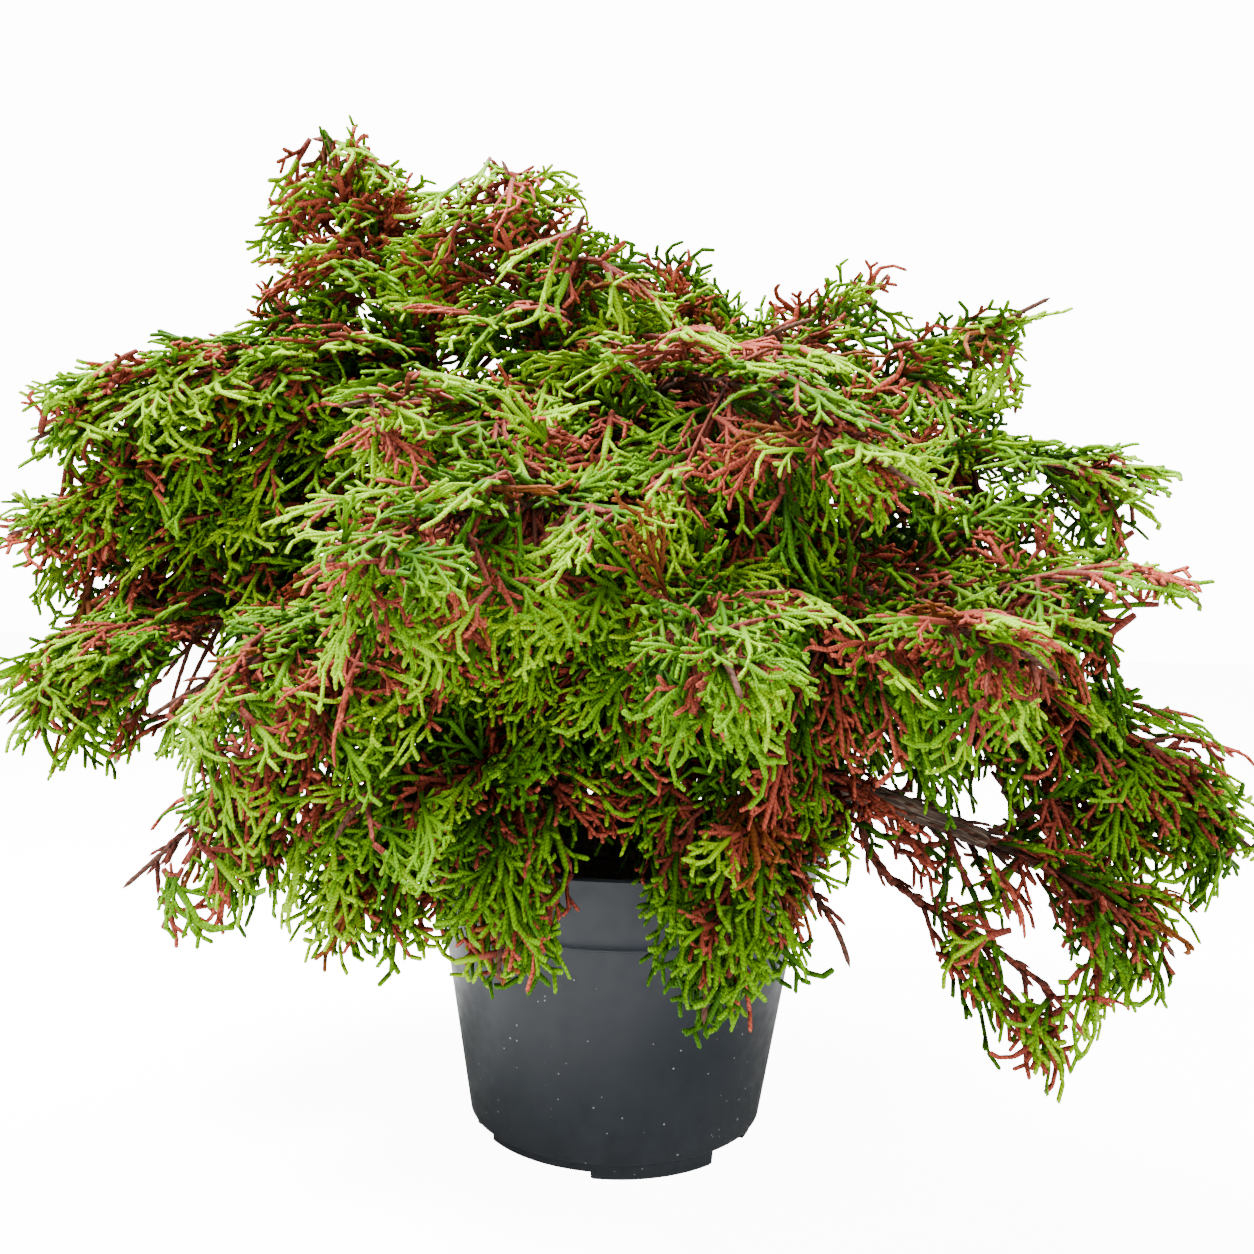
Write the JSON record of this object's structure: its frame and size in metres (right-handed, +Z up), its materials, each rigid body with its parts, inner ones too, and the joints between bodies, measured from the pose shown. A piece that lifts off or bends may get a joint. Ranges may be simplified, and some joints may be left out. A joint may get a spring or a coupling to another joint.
{
  "type": "dwarf hinoki cypress in a nursery pot",
  "caption": "Low, wide, arching dwarf conifer with flat drooping sprays on forked boughs and a short trunk, growing in a round tapered nursery pot.",
  "frame": {"origin": "middle of the flat underside of the pot, on the pot's axis", "axes": "+Z up; -Y is the front, towards the camera; +X is the picture's right"},
  "size_m": [0.5735, 0.4458, 0.4742],
  "materials": {
    "pot_plastic": "matte charcoal moulded plastic, scuffed",
    "potting_mix": "moist bark and peat potting mix",
    "bark": "shaggy grey-brown bark",
    "sprays": "waxy scale leaves, lime to deep green, with red-brown shoots"
  },
  "bodies": {
    "root": {"pot": "pot_plastic", "potting_mix": "potting_mix", "trunk": "bark", "bough_left_high": "bark", "bough_peak": "bark", "bough_second_peak": "bark", "bough_ridge": "bark", "bough_right_crest": "bark", "bough_right_upper": "bark", "bough_right_mid": "bark", "bough_right_low": "bark", "bough_right_skirt": "bark", "bough_left_skirt": "bark", "bough_left_low": "bark", "bough_left_mid": "bark", "bough_front_left": "bark", "bough_front_high": "bark", "bough_front_low": "bark", "bough_front_right_low": "bark", "bough_crown_front": "bark", "bough_back_left_high": "bark", "bough_back_left_low": "bark", "bough_back_high": "bark", "bough_back_low": "bark", "bough_back_right": "bark", "mass_left_high": "sprays", "mass_left_high_back": "sprays", "mass_peak": "sprays", "mass_second_peak": "sprays", "mass_ridge": "sprays", "mass_ridge_right": "sprays", "mass_crown_top": "sprays", "mass_right_crest": "sprays", "mass_right_shoulder": "sprays", "mass_right_upper": "sprays", "mass_right_mid": "sprays", "mass_right_front": "sprays", "mass_right_low": "sprays", "mass_right_skirt": "sprays", "mass_hanger": "sprays", "mass_left_skirt": "sprays", "mass_left_skirt_low": "sprays", "mass_left_low": "sprays", "mass_left_mid": "sprays", "mass_front_left": "sprays", "mass_front_high": "sprays", "mass_front_mid": "sprays", "mass_front_low": "sprays", "mass_front_skirt": "sprays", "mass_front_right_low": "sprays", "mass_front_right_skirt": "sprays", "mass_crown_front_left": "sprays", "mass_crown_front_right": "sprays", "mass_back_left_high": "sprays", "mass_back_left_low": "sprays", "mass_back_left_skirt": "sprays", "mass_back_high": "sprays", "mass_back_low": "sprays", "mass_back_right_high": "sprays", "mass_back_right_low": "sprays"}
  },
  "joints": []
}
